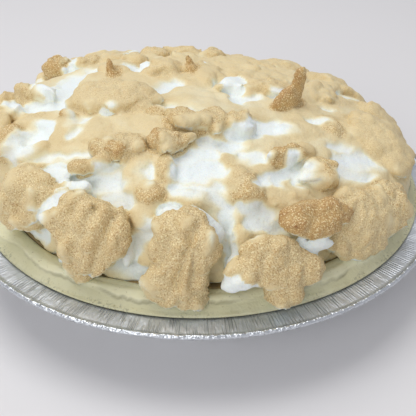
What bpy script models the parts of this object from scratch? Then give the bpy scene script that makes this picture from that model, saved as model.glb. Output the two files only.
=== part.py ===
"""Meringue pie in its foil tin.

A pastry shell lines a round foil tin and its folded edge lies on the tin's flange. A cooked
filling fills the shell, and a deep, craggy meringue is heaped over it and sealed to the pastry.
The base of the tin is z = 0 and the pie's middle is the Z axis. Sizes are in millimetres and
angles in degrees: 0 is +X and -90 is the front. Meshes are scaled to metres as they are made.
"""

from collections import namedtuple

import bmesh
import bpy
import numpy as np
from mathutils import Vector, noise

MM = 0.001
GAP = 0.3

# Foil tin
TIN_RADIUS = 122.5
TIN_DEPTH = 29.4
TIN_BASE_RADIUS = 92.0
TIN_MOUTH_RADIUS = 111.0
FOIL = 0.5
BEAD_RADIUS = 1.0
TIN_STEPS = 88
FLUTE_DEPTH = 0.35
CRIMP_DEPTH = 0.2

# Pastry
PASTRY = 3.5
PASTRY_EDGE_RADIUS = 112.2
PASTRY_LIP_RADIUS = 98.6
PASTRY_CROWN_RADIUS = 104.0
PASTRY_CROWN_Z = 35.8
PASTRY_WAVE = 0.7
PASTRY_STEPS = 80

# Filling
FILLING_TOP = 32.2
FILLING_RIM_TOP = 33.2
FILLING_STEPS = 60

# Meringue
MERINGUE_BASE_Z = 34.0
MERINGUE_RISE = 42.5
MERINGUE_REACH = 105.0
FRONT_REACH = 97.8
FRONT_ANGLE = -95.0
TILT_RIGHT = 0.11
TILT_BACK = 0.155
UNDERSIDE_DROP = 14.0
HEAP_LUMPINESS = 2.2
VOXEL = 2.0
TRIANGLES_KEPT = 0.082
RIM_DOLLOPS = 10
RIM_DOLLOPS_FROM = -14.0
RIM_DOLLOPS_TO = 192.0
CROWN_DOLLOPS = 22
BACK_HOLLOWS = 18

# What a dollop's outline does: lobes round its edge, taper towards its low end, edges that
# curl away from the heap, a point drawn up in the middle, folds down it and a billowed skin.
Shape = namedtuple("Shape", "lobes lobe_depth taper curl point folds rough")
SHAPES = {
    "mound": Shape(0, 0.00, 0.00, 0.00, 0.0, 0.00, 0.16),
    "drape": Shape(0, 0.00, -0.12, 0.00, 0.0, 0.16, 0.20),
    "fan": Shape(0, 0.00, 0.32, 0.00, 0.0, 0.14, 0.20),
    "leaf": Shape(3, 0.16, 0.00, 0.00, 0.0, 0.10, 0.18),
    "flap": Shape(2, 0.10, 0.00, 0.35, 0.0, 0.10, 0.26),
    "rough": Shape(5, 0.10, 0.00, 0.10, 0.0, 0.14, 0.40),
    "peak": Shape(0, 0.00, 0.00, 0.00, 1.0, 0.00, 0.20),
}

# Dollops: angle round the pie and slope angle above its rim, width across the slope, length
# along it, thickness, how far the middle stands off the heap, how far the low edge tips out,
# turn on the slope, and shape.
Dollop = namedtuple("Dollop", "angle slope width length thick off lean turn shape")
DOLLOPS = [
    Dollop(-136, 12, 38, 22, 20, 2, 4, 28, "drape"),
    Dollop(-135, 8, 28, 13, 14, 4, 4, 23, "fan"),
    Dollop(-126, 15, 29, 9, 7.5, 0, 0, 33, "mound"),
    Dollop(-115, 10, 37, 31, 16, 5, 6, -9, "fan"),
    Dollop(-117, 3, 13, 14, 8, 6, 6, 16, "mound"),
    Dollop(-109, 11, 10, 22, 12, 4, 4, -10, "mound"),
    Dollop(-92, 11, 24, 27, 20, 5, 2, -2, "mound"),
    Dollop(-94, 4, 23, 25, 13, 7, 8, 0, "drape"),
    Dollop(-92, 14, 10, 8, 12, 4, 0, 2, "mound"),
    Dollop(-98, 14, 7, 5, 9, 4, 0, 5, "mound"),
    Dollop(-73, 7, 31, 18, 12, 11, 14, -23, "mound"),
    Dollop(-80, 6, 16, 11, 11.6, 11, 16, 3, "mound"),
    Dollop(-72, 3, 15, 17, 11.8, 12, 16, -19, "mound"),
    Dollop(-67, 5, 14, 12, 11, 11, 14, -35, "mound"),
    Dollop(-80, 11, 9, 14, 6, 1, 0, -6, "mound"),
    Dollop(-63, 12, 30, 13, 10, 10, 20, -8, "mound"),
    Dollop(-60, 13, 12, 6, 9, 11, 14, -5, "mound"),
    Dollop(-63, 8, 12, 5, 8, 9, 18, -12, "mound"),
    Dollop(-66, 8, 11, 5, 6, 8, 18, -34, "mound"),
    Dollop(-124, 13, 17, 5, 6, 6, 0, 48, "mound"),
    Dollop(-81, 6, 9, 9, 6, 3, 0, -6, "mound"),
    Dollop(-106, 7, 5, 12, 5, 1, 0, -2, "mound"),
    Dollop(-96, 16, 8, 5, 6, 3, 0, -4, "mound"),
    Dollop(-87, 14, 16, 5, 6, 5, 0, -43, "mound"),
    Dollop(-130, 18, 13, 9, 6, 1, 0, 20, "mound"),
    Dollop(22, 66, 12, 18, 6, 0, 0, 83, "mound"),
    Dollop(-142, 39, 6, 5, 4, 0, 0, 77, "mound"),
    Dollop(-81, 3, 11, 5, 7, 9, 16, 3, "mound"),
    Dollop(-124, -3, 5, 10, 7, 2, 0, -4, "mound"),
    Dollop(-48, 7, 33, 29, 18, 2, 0, -19, "mound"),
    Dollop(-37, 7, 23, 24, 16, 2, 0, -23, "mound"),
    Dollop(-102, 19, 9, 11, 6.8, 1, 0, 8, "mound"),
    Dollop(-102, 15, 12, 12, 6.8, 0, 0, 7, "mound"),
    Dollop(-76, 20, 12, 15, 6.8, 1, 0, 11, "mound"),
    Dollop(-78, 23, 10, 12, 6.8, 0, 0, -5, "mound"),
    Dollop(-92, 19, 15, 8, 6, 0, 0, -2, "mound"),
    Dollop(-65, 17, 21, 11, 6.8, 0, 0, -17, "rough"),
    Dollop(-59, 26, 16, 8, 7, 3, 20, -8, "rough"),
    Dollop(-48, 27, 9, 6, 4.5, 1, 0, -51, "mound"),
    Dollop(-51, 20, 16, 13, 9, 2, 6, -20, "rough"),
    Dollop(-17, 42, 18, 6, 18, 2, 0, -35, "peak"),
    Dollop(161, 42, 5, 8, 10, 1, 0, -74, "peak"),
    Dollop(99, 60, 5, 8, 10, 1, 0, 0, "peak"),
    Dollop(153, 21, 17, 12, 12, 3, 18, 0, "flap"),
    Dollop(145, 25, 20, 12, 9, 1, 8, 0, "rough"),
    Dollop(134, 28, 17, 12, 6.8, 0, 0, 0, "mound"),
    Dollop(-174, 27, 20, 7, 9, 2, 10, 37, "rough"),
    Dollop(179, 22, 19, 7, 10, 1, 0, 44, "rough"),
    Dollop(-169, 20, 17, 11, 10, 1, 0, 37, "rough"),
    Dollop(-155, 44, 39, 31, 15, 0, 0, 58, "mound"),
    Dollop(130, 54, 20, 20, 10, 1, 6, -34, "rough"),
    Dollop(131, 37, 10, 15, 9, 1, 0, 0, "rough"),
    Dollop(115, 32, 16, 18, 10, 1, 0, 0, "rough"),
    Dollop(97, 28, 18, 15, 10, 1, 0, 0, "rough"),
    Dollop(84, 29, 11, 12, 9, 1, 0, 0, "rough"),
    Dollop(84, 63, 11, 26, 6.8, 0, 0, 16, "mound"),
    Dollop(61, 29, 35, 14, 8.2, -1.5, 0, 0, "mound"),
    Dollop(5, 60, 8, 11, 5.2, 0, 0, -78, "mound"),
    Dollop(11, 49, 20, 13, 9, 1, 0, -78, "rough"),
    Dollop(-95, 43, 19, 18, 8, 3, 16, -18, "flap"),
    Dollop(-101, 32, 14, 14, 8, 3, 18, -1, "flap"),
    Dollop(-106, 32, 5, 6, 6, 3, 24, 5, "flap"),
    Dollop(-117, 47, 9, 6, 6, 1, 0, 19, "mound"),
    Dollop(-116, 41, 18, 13, 5.2, -1, 0, -3, "mound"),
    Dollop(-122, 26, 9, 7, 7, 2, 12, 22, "rough"),
    Dollop(-115, 29, 16, 16, 9, 2, 14, 19, "rough"),
    Dollop(-116, 26, 7, 6, 6, 4, 24, 18, "flap"),
    Dollop(-109, 27, 10, 11, 5.2, -1, 0, -16, "mound"),
    Dollop(-124, 21, 10, 5, 6, 2, 14, 29, "flap"),
    Dollop(-120, 23, 10, 5, 6, 1, 0, 45, "mound"),
    Dollop(-152, 18, 15, 15, 11, 2, 0, 28, "mound"),
    Dollop(-143, 27, 13, 20, 6, -1, 0, 66, "mound"),
    Dollop(-148, 30, 6, 5, 5, 2, 16, 44, "mound"),
    Dollop(-152, 25, 24, 5, 4.5, 0, 0, 36, "mound"),
    Dollop(-144, 19, 20, 7, 6.8, 0, 0, 46, "mound"),
    Dollop(-134, 31, 17, 21, 5.2, -1, 0, 73, "mound"),
    Dollop(-99, 25, 7, 14, 6.8, 0, 0, 8, "mound"),
    Dollop(-109, 22, 7, 14, 4.5, -1, 0, 12, "mound"),
    Dollop(-23, 28, 11, 15, 6, 0, 0, -40, "mound"),
    Dollop(-66, 41, 13, 13, 9, 2, 10, -13, "rough"),
    Dollop(-81, 44, 11, 20, 9, 2, 10, -1, "rough"),
    Dollop(-77, 42, 17, 14, 5.2, -1, 0, -14, "mound"),
    Dollop(-38, 33, 24, 14, 4.5, -1, 0, -32, "mound"),
    Dollop(-68, 27, 16, 13, 4.5, -1, 0, -11, "mound"),
    Dollop(14, 22, 43, 19, 6, -1.5, 0, -55, "mound"),
    Dollop(-15, 13, 34, 29, 7.5, -1.5, 0, -34, "mound"),
    Dollop(-17, 25, 29, 16, 5.2, -1.5, 0, -41, "rough"),
    Dollop(-36, 48, 11, 13, 4.5, -1, 0, -38, "mound"),
]

# Hollows between the dollops: from one angle and slope to another, how wide and how deep.
Hollow = namedtuple("Hollow", "angle slope to_angle to_slope width depth")
HOLLOWS = [
    Hollow(154, 34, 164, 31, 11, 2.2),
    Hollow(164, 31, -180, 30, 13, 2.2),
    Hollow(-180, 30, -160, 31, 10, 2.1),
    Hollow(-160, 31, -168, 24, 10, 2.1),
    Hollow(-148, 25, -145, 20, 11, 2.2),
    Hollow(-145, 20, -147, 16, 7, 1.6),
    Hollow(-140, 38, -138, 41, 6, 1.4),
    Hollow(-142, 32, -147, 35, 6, 1.4),
    Hollow(-172, 65, 154, 72, 9, 1.9),
    Hollow(146, 46, 139, 50, 6, 1.4),
    Hollow(-126, 55, -97, 53, 9, 2.0),
    Hollow(38, 70, -9, 67, 10, 2.1),
    Hollow(-9, 67, -33, 62, 7, 1.6),
    Hollow(-36, 62, -12, 56, 5, 1.3),
    Hollow(85, 51, 81, 50, 5, 1.3),
    Hollow(-59, 41, -46, 38, 12, 2.2),
    Hollow(-72, 38, -55, 39, 9, 1.9),
    Hollow(-86, 35, -75, 33, 8, 1.7),
    Hollow(-95, 29, -86, 31, 8, 1.7),
    Hollow(-94, 25, -85, 26, 11, 2.2),
    Hollow(-130, 19, -122, 20, 5, 1.4),
    Hollow(-129, 19, -125, 17, 6, 1.4),
    Hollow(-121, 22, -115, 24, 5, 1.3),
    Hollow(-121, 19, -112, 20, 9, 1.9),
    Hollow(-113, 17, -107, 17, 5, 1.3),
    Hollow(-127, 11, -118, 16, 5, 1.3),
    Hollow(-127, 10, -132, 3, 6, 1.5),
    Hollow(-145, -6, -133, 3, 4, 1.2),
    Hollow(-100, 14, -106, 7, 5, 1.4),
    Hollow(-107, 3, -103, 2, 10, 2.1),
    Hollow(-107, 2, -103, 0, 6, 1.4),
    Hollow(-73, 29, -68, 29, 6, 1.4),
    Hollow(-66, 22, -55, 24, 6, 1.4),
    Hollow(-58, 27, -58, 22, 7, 1.7),
    Hollow(-36, 24, -31, 22, 4, 1.2),
    Hollow(-39, 20, -26, 16, 10, 2.1),
    Hollow(-47, 20, -35, 14, 5, 1.3),
    Hollow(-24, 33, -25, 31, 8, 1.8),
    Hollow(-6, 32, -5, 29, 4, 1.2),
    Hollow(-86, 20, -82, 17, 5, 1.3),
    Hollow(-83, 16, -83, 12, 5, 1.3),
    Hollow(-82, 9, -80, 5, 6, 1.5),
    Hollow(-76, 17, -72, 15, 8, 1.7),
    Hollow(-79, 18, -75, 15, 4, 1.2),
]

# Where the heap's foot lifts off the pastry between the front dollops
ARCHES = [Hollow(angle - 4, -12, angle + 4, -12, 9, 6) for angle in (-139, -118, -84, -54)]


def smooth_step(low, high, value):
    share = np.clip((value - low) / (high - low), 0.0, 1.0)
    return share * share * (3.0 - 2.0 * share)


# The pie as a shape

def heap_reach(angle):
    """How far the heap comes out at this angle: at the front it stops short of the pastry edge."""
    facing = np.cos(np.radians(angle - FRONT_ANGLE))
    return MERINGUE_REACH - (MERINGUE_REACH - FRONT_REACH) * smooth_step(0.35, 0.85, facing)


def heap_point(angle, slope):
    """Points of the heap's surface: a superellipse in section, boxier on its high left side."""
    squareness = 2.86 - 0.62 * np.cos(np.radians(angle))
    along, up = np.cos(np.radians(slope)), np.sin(np.radians(slope))
    reach = ((along / heap_reach(angle)) ** squareness
             + (np.abs(up) / MERINGUE_RISE) ** squareness) ** (-1.0 / squareness)
    x = reach * along * np.cos(np.radians(angle))
    y = reach * along * np.sin(np.radians(angle))
    rise = np.where(up >= 0, reach * up, UNDERSIDE_DROP * up)
    rise = rise * (1.0 - TILT_RIGHT * x / MERINGUE_REACH - TILT_BACK * y / MERINGUE_REACH)
    return np.stack([x, y, MERINGUE_BASE_Z + rise], axis=-1)


def from_stroke(row, feet):
    """How far these points of the plain heap are from a stroke across it."""
    start, end = heap_point(row.angle, row.slope), heap_point(row.to_angle, row.to_slope)
    run = end - start
    share = np.clip((feet - start) @ run / (run @ run), 0, 1)
    return np.linalg.norm(feet - start - share[:, None] * run, axis=1)


def heap_axes(angle, slope, turn=0.0):
    """A place on the heap and its three axes: across the slope, up it, and straight out."""
    place = heap_point(angle, slope)
    across = heap_point(angle + 0.5, slope) - heap_point(angle - 0.5, slope)
    up = heap_point(angle, slope + 0.5) - heap_point(angle, slope - 0.5)
    across /= np.linalg.norm(across)
    out = np.cross(across, up)
    out /= np.linalg.norm(out)
    up = np.cross(out, across)
    cos, sin = np.cos(np.radians(turn)), np.sin(np.radians(turn))
    return place, np.array([cos * across + sin * up, cos * up - sin * across, out])


def crumple(points, size, seed):
    """Smooth noise from -1 to 1 at each point, with lumps of about this size."""
    shift = Vector((7.3 * seed, -3.1 * seed, 5.7 * seed))
    return np.array([noise.noise(Vector(point) / size + shift) for point in points])


def billow(points, size, seed):
    """Round bumps with creases between them, about -0.3 to 0.7."""
    return 1.6 * np.abs(crumple(points, size, seed)) - 0.3


# Mesh helpers

def new_object(name, mesh, collection, material=None):
    piece = bpy.data.objects.new(name, mesh)
    collection.objects.link(piece)
    if material:
        mesh.materials.append(material)
    return piece


def round_shades(mesh):
    mesh.shade_smooth()
    mesh.set_sharp_from_angle(angle=np.radians(40))


def turned(name, profile, steps, reshape=None):
    """A solid turned about Z from a closed (radius, height) profile; reshape moves its points."""
    shell = bmesh.new()
    corners = [shell.verts.new((radius, 0.0, height)) for radius, height in profile]
    ring = [shell.edges.new(pair) for pair in zip(corners, corners[1:])]
    bmesh.ops.spin(shell, geom=corners + ring, axis=(0, 0, 1), cent=(0, 0, 0), steps=steps,
                   angle=2 * np.pi, use_merge=True)
    bmesh.ops.remove_doubles(shell, verts=shell.verts, dist=1e-4)
    bmesh.ops.recalc_face_normals(shell, faces=shell.faces)
    if reshape:
        for index, corner in enumerate(shell.verts):
            corner.co = reshape(corner.co)
    bmesh.ops.scale(shell, vec=(MM, MM, MM), verts=shell.verts)
    mesh = bpy.data.meshes.new(name)
    shell.to_mesh(mesh)
    shell.free()
    return mesh


def material(name, colour, roughness, metallic=0.0):
    made = bpy.data.materials.new(name)
    made.use_nodes = True
    shader = made.node_tree.nodes["Principled BSDF"]
    shader.inputs["Base Color"].default_value = (*colour, 1.0)
    shader.inputs["Roughness"].default_value = roughness
    shader.inputs["Metallic"].default_value = metallic
    return made


# Foil tin: flat base, fluted flaring wall, crimped flange and a rolled edge

def flute(corner):
    """Alternate points of the wall stand in and out, and those of the flange up and down."""
    radius, angle = corner.xy.length, np.arctan2(corner.y, corner.x)
    wave = np.cos(angle * TIN_STEPS / 2)
    if TIN_MOUTH_RADIUS < radius < TIN_RADIUS - 2.5 * BEAD_RADIUS:
        return corner + Vector((0, 0, CRIMP_DEPTH * wave))
    if corner.z > 2.0 and radius < TIN_MOUTH_RADIUS:
        share = (radius + FLUTE_DEPTH * wave) / radius
        return Vector((corner.x * share, corner.y * share, corner.z))
    return corner


def tin_profile():
    bead_at = TIN_RADIUS - BEAD_RADIUS
    flange_z = TIN_DEPTH + 0.3
    turns = np.radians(np.linspace(-125, 140, 7))
    bead = [(bead_at + BEAD_RADIUS * np.cos(t), flange_z + 0.3 + BEAD_RADIUS * np.sin(t)) for t in turns]
    outside = [
        (0, 0), (TIN_BASE_RADIUS - 1.5, 0), (TIN_BASE_RADIUS + 0.3, 0.9),
        (101.3, TIN_DEPTH / 2), (TIN_MOUTH_RADIUS - 0.6, TIN_DEPTH - 1.2),
        (TIN_MOUTH_RADIUS + 0.6, TIN_DEPTH - 0.3), (116.0, TIN_DEPTH - 0.2), (bead_at - 1.6, flange_z - 0.2),
    ]
    inside = [
        (bead_at - 1.9, flange_z + 0.3), (116.0, TIN_DEPTH + 0.3), (TIN_MOUTH_RADIUS + 0.3, TIN_DEPTH + 0.2),
        (TIN_MOUTH_RADIUS - 1.0, TIN_DEPTH - 0.6), (100.8, TIN_DEPTH / 2),
        (TIN_BASE_RADIUS - 0.3, 1.3), (TIN_BASE_RADIUS - 1.7, FOIL), (0, FOIL),
    ]
    return outside + bead + inside


# Pastry: a shell inside the tin, whose folded edge lies on the flange

def pastry_wave(corner):
    """The hand-pressed edge rises and falls a little and wanders in and out."""
    radius = corner.xy.length
    if radius < PASTRY_LIP_RADIUS - 2.0 or corner.z < TIN_DEPTH + 1.5:
        return corner
    angle = np.arctan2(corner.y, corner.x)
    rise = PASTRY_WAVE * (0.6 * np.sin(5 * angle + 1.0) + 0.4 * np.sin(11 * angle + 2.0))
    return corner + Vector((0, 0, rise * smooth_step(PASTRY_LIP_RADIUS, PASTRY_CROWN_RADIUS, radius)))


def pastry_top():
    """The upper side of the edge, from outside to inside, with the step where it is folded."""
    return [
        (PASTRY_EDGE_RADIUS - 0.4, 31.8), (PASTRY_EDGE_RADIUS - 2.2, 33.3), (107.6, 34.2),
        (107.0, 35.2), (PASTRY_CROWN_RADIUS, PASTRY_CROWN_Z), (101.0, 35.4), (PASTRY_LIP_RADIUS + 0.4, 34.0),
    ]


def pastry_profile():
    under_flange = TIN_DEPTH + 0.3 + CRIMP_DEPTH + GAP + 0.1
    outside = [
        (0, FOIL + GAP), (TIN_BASE_RADIUS - 2.6, FOIL + GAP), (TIN_BASE_RADIUS - 1.4, 1.6),
        (TIN_MOUTH_RADIUS - 2.4, TIN_DEPTH - 0.6), (TIN_MOUTH_RADIUS - 0.2, under_flange),
        (PASTRY_EDGE_RADIUS - 0.6, under_flange), (PASTRY_EDGE_RADIUS, under_flange + 0.7),
    ]
    inside = [
        (PASTRY_LIP_RADIUS, 32.0), (TIN_BASE_RADIUS - PASTRY - 1.0, FOIL + GAP + PASTRY),
        (0, FOIL + GAP + PASTRY),
    ]
    return outside + pastry_top() + inside


# Filling: from the shell's floor to just under the meringue

def filling_profile():
    floor = FOIL + GAP + PASTRY + GAP
    return [
        (0, floor), (TIN_BASE_RADIUS - PASTRY - 1.5, floor), (PASTRY_LIP_RADIUS - 0.6, 31.6),
        (PASTRY_LIP_RADIUS - 0.5, FILLING_RIM_TOP), (PASTRY_LIP_RADIUS - 6.0, FILLING_TOP), (0, FILLING_TOP),
    ]


# Meringue: the heap and its dollops as overlapping closed shapes

def ball(subdivisions):
    shell = bmesh.new()
    bmesh.ops.create_icosphere(shell, subdivisions=subdivisions, radius=1.0)
    mesh = bpy.data.meshes.new("ball")
    shell.to_mesh(mesh)
    shell.free()
    return mesh, np.array([corner.co for corner in mesh.vertices])


def heap_points(unit):
    """The heap: the plain surface, sunk at the hollows and gently lumpy."""
    angle = np.degrees(np.arctan2(unit[:, 1], unit[:, 0]))
    slope = np.degrees(np.arcsin(np.clip(unit[:, 2], -1, 1)))
    points = heap_point(angle, slope)
    inwards = np.array([0, 0, MERINGUE_BASE_Z]) - points
    inwards /= np.linalg.norm(inwards, axis=1)[:, None]
    sink = -HEAP_LUMPINESS * (crumple(points, 24.0, 1) + 0.5 * billow(points, 11.0, 2) + 0.2 * crumple(points, 5.0, 5))
    carved = np.zeros(len(points))
    for row in HOLLOWS + scattered_hollows() + ARCHES:
        away = from_stroke(row, points)
        carved = np.maximum(carved, row.depth * smooth_step(row.width * 0.5 + 3.0, row.width * 0.2, away))
    return points + inwards * (sink + carved)[:, None]


def dollop_points(row, unit, seed):
    """A ball squashed, folded, curled and drawn up into one dollop, set on the heap."""
    shape = SHAPES[row.shape]
    drift = np.stack([crumple(unit, 0.8, seed + 100 + axis) for axis in range(3)], axis=1)
    x, y, z = (unit + 0.9 * shape.rough * drift).T
    round_it = np.arctan2(y, x)
    flat = np.hypot(x, y)
    lobes = 1 + shape.lobe_depth * np.cos(shape.lobes * (round_it + np.pi / 2)) * flat ** 2
    narrow = 1 - shape.taper * smooth_step(-0.2, 1.0, -y)
    drawn = shape.point * smooth_step(0.0, 1.0, z)
    skin = 1 + shape.rough * (billow(unit, 0.55, seed) + 0.4 * billow(unit, 0.26, seed + 50))
    grooves = np.abs(np.sin(4.4 * x + 1.3 * y + seed)) - 0.7
    fold = shape.folds * grooves * smooth_step(0.9, -0.2, y) * smooth_step(-0.2, 0.5, z)
    wide = row.width / 2 * x * lobes * narrow * skin * (1 - 0.5 * drawn) + 0.25 * row.thick * drawn
    long = row.length / 2 * y * lobes * skin * (1 - 0.5 * drawn)
    high = row.thick / 2 * (z * skin * (1 + 0.9 * drawn) + fold + shape.curl * (flat ** 2 - 0.4))
    lean = np.radians(row.lean)
    local = np.stack([
        wide,
        long * np.cos(lean) + high * np.sin(lean),
        high * np.cos(lean) - long * np.sin(lean) + row.off,
    ], axis=-1)
    spot, axes = heap_axes(row.angle, row.slope, row.turn)
    return spot + local @ axes


def scattered_dollops():
    """Dollops by rule: hanging round the rim where none is set above, and small ones on the heap."""
    chance = np.random.default_rng(7)
    rows = []
    for angle in np.linspace(RIM_DOLLOPS_FROM, RIM_DOLLOPS_TO, RIM_DOLLOPS):
        rows.append(Dollop(angle + chance.uniform(-5, 5), chance.uniform(6, 16), chance.uniform(30, 44),
                           chance.uniform(34, 46), chance.uniform(13, 17), chance.uniform(-3, 1),
                           chance.uniform(0, 8), chance.uniform(-20, 20),
                           chance.choice(["drape", "fan", "mound"])))
    for _ in range(CROWN_DOLLOPS):
        rows.append(Dollop(chance.uniform(10, 150), chance.uniform(18, 60), chance.uniform(16, 34),
                           chance.uniform(12, 22), chance.uniform(6, 9), chance.uniform(-1, 0.5),
                           chance.uniform(0, 15), chance.uniform(-60, 60),
                           chance.choice(["rough", "mound", "flap"])))
    return rows


def scattered_hollows():
    """Hollows by rule over the back of the heap, and between the dollops of its rim."""
    chance = np.random.default_rng(12)
    rows = []
    for angle in np.linspace(RIM_DOLLOPS_FROM, RIM_DOLLOPS_TO, 2 * RIM_DOLLOPS - 1)[3:-2:2]:
        rows.append(Hollow(angle, -6, angle + chance.uniform(-4, 4), chance.uniform(12, 22),
                           chance.uniform(8, 13), 3.5))
    for _ in range(BACK_HOLLOWS):
        angle, slope = chance.uniform(38, 160), chance.uniform(14, 36)
        rows.append(Hollow(angle, slope, angle + chance.uniform(-14, 14), slope + chance.uniform(-7, 7),
                           chance.uniform(6, 14), 2))
    return rows


def heaped_mesh():
    """Heap and dollops in one mesh, still as separate overlapping shells."""
    joined = bmesh.new()
    mesh, unit = ball(6)
    mesh.vertices.foreach_set("co", (heap_points(unit) * MM).ravel())
    joined.from_mesh(mesh)
    for seed, row in enumerate(DOLLOPS + scattered_dollops()):
        mesh, unit = ball(4)
        mesh.vertices.foreach_set("co", (dollop_points(row, unit, seed) * MM).ravel())
        joined.from_mesh(mesh)
    mesh = bpy.data.meshes.new("meringue_heap")
    joined.to_mesh(mesh)
    joined.free()
    return mesh


def moved_out(line, gap):
    """A line of (radius, height) points that runs inwards, moved upwards by the gap."""
    runs = np.diff(np.array(line), axis=0)
    sides = np.stack([runs[:, 1], -runs[:, 0]], axis=1) / np.linalg.norm(runs, axis=1)[:, None]
    corners = np.concatenate([sides[:1], sides[:-1] + sides[1:], sides[-1:]])
    corners /= (corners ** 2).sum(axis=1)[:, None] ** 0.5
    return [tuple(point) for point in np.array(line) + gap * corners]


def bed_profile():
    """Everything that the meringue lies on, with the gap: filling, pastry edge, flange."""
    edge = [(PASTRY_EDGE_RADIUS, TIN_DEPTH + 1.5)] + pastry_top() + [(PASTRY_LIP_RADIUS, FILLING_RIM_TOP)]
    flange_top = TIN_DEPTH + 0.6 + CRIMP_DEPTH + GAP
    outer = [(140.0, 0.0), (140.0, 31.5), (TIN_RADIUS + 0.6, 31.5), (TIN_RADIUS - 3.5, flange_top + 0.2),
             (PASTRY_EDGE_RADIUS + 1.5, flange_top)]
    inner = [(PASTRY_LIP_RADIUS - 1.2, FILLING_RIM_TOP + GAP), (PASTRY_LIP_RADIUS - 6.0, FILLING_TOP + GAP),
             (0, FILLING_TOP + GAP)]
    return [(0, 0.0)] + outer + moved_out(edge, 1.3 * GAP) + inner


def largest_body(mesh):
    """Leaves only the biggest closed shell of the mesh."""
    shell = bmesh.new()
    shell.from_mesh(mesh)
    left, bodies = set(shell.verts), []
    while left:
        body, edge = set(), [left.pop()]
        while edge:
            corner = edge.pop()
            body.add(corner)
            for link in corner.link_edges:
                other = link.other_vert(corner)
                if other in left:
                    left.discard(other)
                    edge.append(other)
        bodies.append(body)
    keep = max(bodies, key=len)
    bmesh.ops.delete(shell, geom=[corner for corner in shell.verts if corner not in keep], context="VERTS")
    bmesh.ops.triangulate(shell, faces=shell.faces)
    shell.to_mesh(mesh)
    shell.free()


def baked(piece):
    """The piece's mesh with its modifiers worked out."""
    bpy.context.view_layer.update()
    graph = bpy.context.evaluated_depsgraph_get()
    return bpy.data.meshes.new_from_object(piece.evaluated_get(graph))


def make_meringue(parts, cutters, colour):
    bed = new_object("bed_cutter", turned("bed", bed_profile(), PASTRY_STEPS, pastry_wave), cutters)
    bed.hide_render = True
    bed.display_type = "WIRE"
    piece = new_object("meringue", heaped_mesh(), parts)
    fuse = piece.modifiers.new("fuse", "REMESH")
    fuse.mode = "VOXEL"
    fuse.voxel_size = VOXEL * MM
    relax = piece.modifiers.new("relax", "SMOOTH")
    relax.factor = 0.5
    relax.iterations = 2
    thin_out = piece.modifiers.new("thin_out", "DECIMATE")
    thin_out.ratio = TRIANGLES_KEPT
    seat = piece.modifiers.new("seat", "BOOLEAN")
    seat.operation = "DIFFERENCE"
    seat.solver = "MANIFOLD"
    seat.object = bed
    mesh = baked(piece)
    largest_body(mesh)
    piece.modifiers.clear()
    piece.data = mesh
    mesh.materials.append(colour)
    round_shades(mesh)


def main():
    for leftover in list(bpy.data.objects):
        bpy.data.objects.remove(leftover)
    parts = bpy.data.collections.new("meringue_pie")
    cutters = bpy.data.collections.new("cutters")
    for collection in (parts, cutters):
        bpy.context.scene.collection.children.link(collection)
    pieces = {
        "tin": turned("tin", tin_profile(), TIN_STEPS, flute),
        "crust": turned("crust", pastry_profile(), PASTRY_STEPS, pastry_wave),
        "filling": turned("filling", filling_profile(), FILLING_STEPS),
    }
    colours = {
        "tin": material("foil", (0.72, 0.71, 0.72), 0.35, 1.0),
        "crust": material("pastry", (0.62, 0.55, 0.36), 0.7),
        "filling": material("filling", (0.45, 0.30, 0.14), 0.3),
    }
    for name, mesh in pieces.items():
        round_shades(mesh)
        new_object(name, mesh, parts, colours[name])
    make_meringue(parts, cutters, material("meringue", (0.80, 0.62, 0.34), 0.75))


main()
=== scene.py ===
"""Meringue pie in its foil tin: the finish of every surface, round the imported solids.

Sizes are in millimetres and angles in degrees, 0 at +X and -90 at the front; meshes are scaled
to metres as they are made. Colours are written as they look, in sRGB from 0 to 255.
"""
from collections import namedtuple

import bmesh
import bpy
import numpy as np
from mathutils import Matrix, Vector, noise


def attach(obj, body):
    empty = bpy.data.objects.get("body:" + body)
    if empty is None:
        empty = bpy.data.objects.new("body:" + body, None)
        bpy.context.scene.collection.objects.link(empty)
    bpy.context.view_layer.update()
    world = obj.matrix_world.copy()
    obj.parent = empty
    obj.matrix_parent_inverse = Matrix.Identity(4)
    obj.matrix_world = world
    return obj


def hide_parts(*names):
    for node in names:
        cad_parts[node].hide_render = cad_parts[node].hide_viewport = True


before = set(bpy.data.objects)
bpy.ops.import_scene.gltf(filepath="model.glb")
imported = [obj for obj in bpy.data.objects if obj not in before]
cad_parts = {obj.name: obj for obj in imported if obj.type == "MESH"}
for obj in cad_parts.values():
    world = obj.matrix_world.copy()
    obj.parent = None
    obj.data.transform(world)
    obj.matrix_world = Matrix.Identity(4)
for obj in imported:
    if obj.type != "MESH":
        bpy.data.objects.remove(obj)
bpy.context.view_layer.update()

# Foil tin
# A stamped tin of thin aluminium foil. Its wall and flange are gathered into fine crimps as it
# is pressed, and the edge is rolled into a bead. The pie's pastry sits straight in it.

MM = 0.001
TIN_RADIUS = 122.5
TIN_DEPTH = 29.4
TIN_BASE_RADIUS = 92.0
TIN_MOUTH_RADIUS = 111.0
FOIL = 0.5
BEAD_RADIUS = 1.0
TIN_STEPS = 1080
WALL_PLEATS = 88
CRIMPS = 544
SECTORS = 12
BEAD_SHEEN_FROM = 120.3


def smooth_step(low, high, value):
    share = np.clip((value - low) / (high - low), 0.0, 1.0)
    return share * share * (3.0 - 2.0 * share)


def crumple(points, size, seed):
    """Smooth noise from -1 to 1 at each point, with lumps of about this size."""
    moved = points / size + np.array([7.3, -3.1, 5.7]) * seed
    return np.array([noise.noise(point) for point in moved.tolist()])


def points_of(mesh):
    flat = np.empty(len(mesh.vertices) * 3)
    mesh.vertices.foreach_get("co", flat)
    return flat.reshape(-1, 3)


def polar(points):
    """How far each point is from the Z axis, and its angle about it in radians."""
    return np.hypot(points[:, 0], points[:, 1]), np.arctan2(points[:, 1], points[:, 0])


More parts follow.
